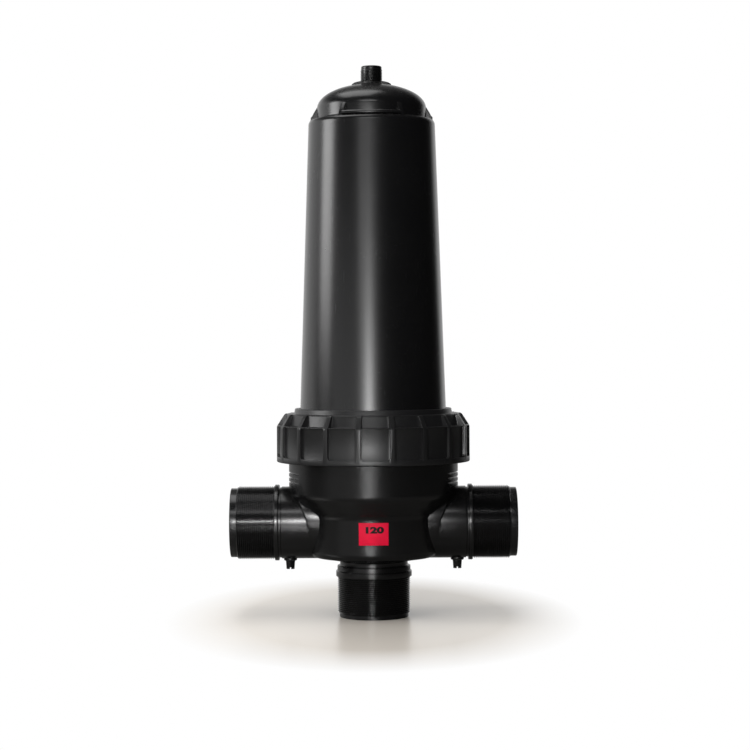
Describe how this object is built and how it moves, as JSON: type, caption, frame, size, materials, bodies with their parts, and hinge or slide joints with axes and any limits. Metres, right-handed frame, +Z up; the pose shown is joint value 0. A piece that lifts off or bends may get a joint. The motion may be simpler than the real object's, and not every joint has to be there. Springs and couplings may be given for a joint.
{
  "type": "irrigation disc filter",
  "caption": "Three port plastic disc filter for drip irrigation: ribbed clamp nut, tapered domed cover, threaded side and bottom ports, red discs inside.",
  "frame": {"origin": "middle of the bottom port's end face, which the filter stands on", "axes": "+Z up along the filter's axis, X along the two side ports, -Y towards the label"},
  "size_m": [0.345, 0.2334, 0.666],
  "materials": {
    "moulded": "satin black moulded plastic",
    "cover": "satin black moulded plastic with a fine grain",
    "nut": "matt black moulded plastic",
    "plug": "glossy black plastic",
    "seal": "black rubber",
    "label": "red plastic plate with dark figures",
    "disc": "red grooved plastic discs",
    "element": "dark grey glass filled plastic"
  },
  "bodies": {
    "base": {"base_body": "moulded", "grade_label": "label", "spine": "element", "spine_seal": "seal", "swirl_ring": "element", "disc_pack_01": "disc", "disc_pack_02": "disc", "disc_pack_03": "disc", "disc_pack_04": "disc", "disc_pack_05": "disc", "disc_pack_06": "disc", "disc_pack_07": "disc", "disc_pack_08": "disc", "press_plate": "element"},
    "cover": {"cover": "cover", "cover_seal": "seal"},
    "nut": {"clamp_nut": "nut"},
    "vent_ring": {"vent_seal": "seal"},
    "vent_screw": {"vent_plug": "plug"},
    "tap_ring_left": {"tap_seal_left": "seal"},
    "tap_screw_left": {"tap_plug_left": "plug"},
    "tap_ring_right": {"tap_seal_right": "seal"},
    "tap_screw_right": {"tap_plug_right": "plug"},
    "element_washer": {"thrust_washer": "seal"},
    "element_nut": {"wing_nut": "plug"}
  },
  "joints": [
    {"name": "cover_lift", "type": "slide", "parent": "base", "child": "cover", "axis": [0, 0, 1], "range_m": [0, 0.4]},
    {"name": "nut_turn", "type": "hinge", "parent": "cover", "child": "nut", "pos_m": [0, 0, 0.217], "axis": [0, 0, 1], "range_deg": [0, 1080]},
    {"name": "vent_draw", "type": "slide", "parent": "cover", "child": "vent_ring", "axis": [0, 0, 1], "range_m": [0, 0.012]},
    {"name": "vent_turn", "type": "hinge", "parent": "vent_ring", "child": "vent_screw", "pos_m": [0, 0, 0.6627], "axis": [0, 0, 1], "range_deg": [0, 3220]},
    {"name": "tap_draw_left", "type": "slide", "parent": "base", "child": "tap_ring_left", "axis": [0, 0, -1], "range_m": [0, 0.008]},
    {"name": "tap_turn_left", "type": "hinge", "parent": "tap_ring_left", "child": "tap_screw_left", "pos_m": [-0.101, 0, 0.0697], "axis": [0, 0, -1], "range_deg": [0, 2160]},
    {"name": "tap_draw_right", "type": "slide", "parent": "base", "child": "tap_ring_right", "axis": [0, 0, -1], "range_m": [0, 0.008]},
    {"name": "tap_turn_right", "type": "hinge", "parent": "tap_ring_right", "child": "tap_screw_right", "pos_m": [0.101, 0, 0.0697], "axis": [0, 0, -1], "range_deg": [0, 2160]},
    {"name": "element_draw", "type": "slide", "parent": "base", "child": "element_washer", "axis": [0, 0, 1], "range_m": [0, 0.012]},
    {"name": "element_turn", "type": "hinge", "parent": "element_washer", "child": "element_nut", "pos_m": [0, 0, 0.5663], "axis": [0, 0, 1], "range_deg": [0, 1075]}
  ],
  "couplings": [
    {"joint": "vent_draw", "follows": "vent_turn", "m_per_rad": 0.00021279},
    {"joint": "tap_turn_left", "follows": "tap_draw_left", "rad_per_m": 4699.5},
    {"joint": "tap_turn_right", "follows": "tap_draw_right", "rad_per_m": 4699.5},
    {"joint": "element_draw", "follows": "element_turn", "m_per_rad": 0.00063662}
  ]
}
